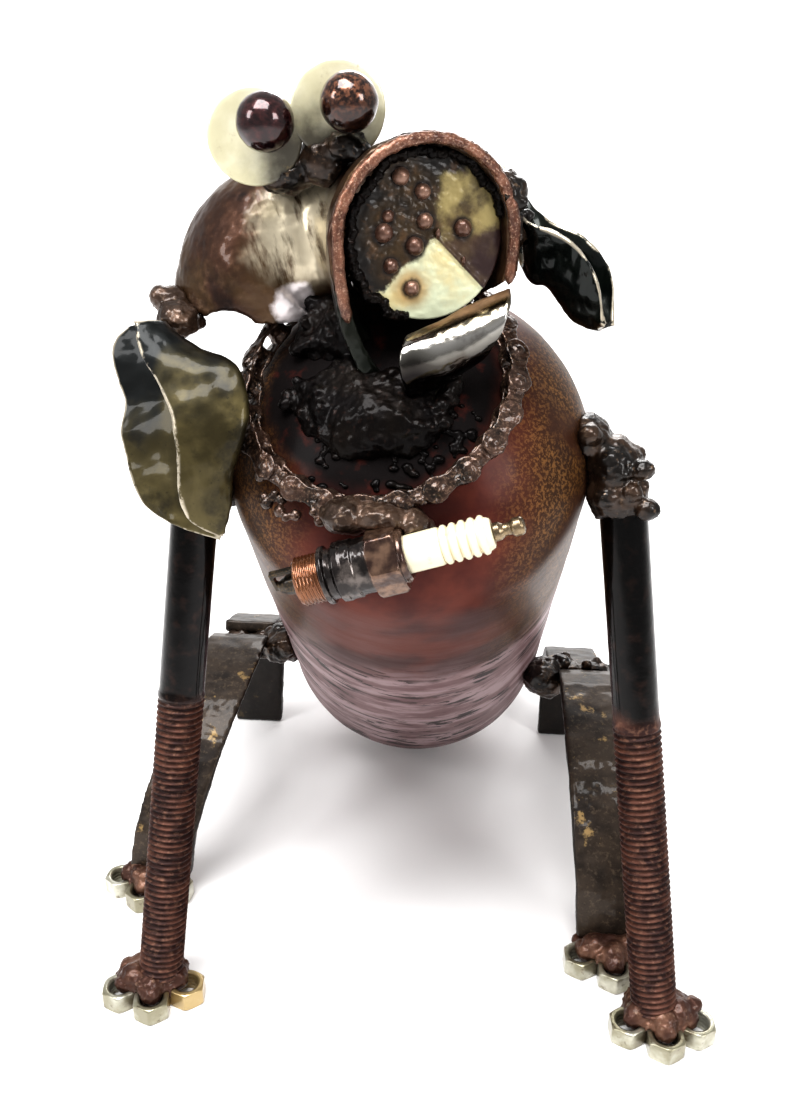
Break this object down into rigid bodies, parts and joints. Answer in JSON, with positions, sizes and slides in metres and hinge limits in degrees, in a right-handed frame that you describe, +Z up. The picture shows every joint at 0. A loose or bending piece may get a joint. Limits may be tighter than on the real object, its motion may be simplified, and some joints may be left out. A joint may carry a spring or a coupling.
{
  "type": "scrap metal dog sculpture",
  "caption": "Seated dog welded from scrap: tank body, bolt and flat-bar legs, nut toes, bent tube head, roller chain collar with a spark plug tag.",
  "frame": {"origin": "centre of the bounding box's base, on the surface that the feet stand on", "axes": "+Z up, the dog faces -Y, +X to the right as seen from the front"},
  "size_m": [0.278, 0.309, 0.3679],
  "materials": {
    "tank": "lacquered, rust brown above and bare steel with dark scratches below",
    "head": "lacquered, rust brown with heat tints and bare bright patches",
    "disc": "sheet steel, sooty with heat halos round the weld dots",
    "jaw": "bright tube wall with a rusty inner lip",
    "eye": "dark brown lacquered steel ball",
    "washer": "pale zinc with grime towards the weld",
    "ear_brass": "heat-tinted steel, olive and blue",
    "ear_dark": "dark blued steel with bright edges",
    "weld": "lumpy weld metal under clear lacquer",
    "foot_weld": "lumpy brown weld metal under clear lacquer",
    "chain": "rusty roller chain under clear lacquer",
    "plug_steel": "blackened steel, rusty thread",
    "ceramic": "glazed, cream",
    "plug_terminal": "tarnished",
    "plug_nose": "tarnished and sooty",
    "bolt": "black shank, rusty thread, under clear lacquer",
    "bar": "mottled brown mill scale under clear lacquer",
    "nut": "zinc plated, yellowish"
  },
  "bodies": {
    "root": {"body_tank": "tank", "neck": "weld", "head_shell": "head", "nose_disc": "disc", "lower_jaw": "jaw", "eye_disc_left": "washer", "eye_disc_right": "washer", "eye_ball_left": "eye", "eye_ball_right": "eye", "eye_weld": "weld", "ear_left": "ear_brass", "ear_right": "ear_dark", "ear_weld_left": "weld", "ear_weld_right": "weld", "collar_chain": "chain", "plug_shell": "plug_steel", "plug_insulator": "ceramic", "plug_terminal": "plug_terminal", "plug_electrode": "plug_nose", "plug_weld": "weld", "front_leg_left": "bolt", "shoulder_weld_left": "weld", "shin_bar_left": "bar", "haunch_bar_left": "bar", "knee_weld_left": "weld", "hip_weld_left": "weld", "front_leg_right": "bolt", "shoulder_weld_right": "weld", "shin_bar_right": "bar", "haunch_bar_right": "bar", "knee_weld_right": "weld", "hip_weld_right": "weld", "foot_weld_front_left": "foot_weld", "toe_nut_front_left_1": "nut", "toe_nut_front_left_2": "nut", "toe_nut_front_left_3": "nut", "foot_weld_front_right": "foot_weld", "toe_nut_front_right_1": "nut", "toe_nut_front_right_2": "nut", "toe_nut_front_right_3": "nut", "foot_weld_rear_left": "foot_weld", "toe_nut_rear_left_1": "nut", "toe_nut_rear_left_2": "nut", "toe_nut_rear_left_3": "nut", "foot_weld_rear_right": "foot_weld", "toe_nut_rear_right_1": "nut", "toe_nut_rear_right_2": "nut", "toe_nut_rear_right_3": "nut"}
  },
  "joints": []
}
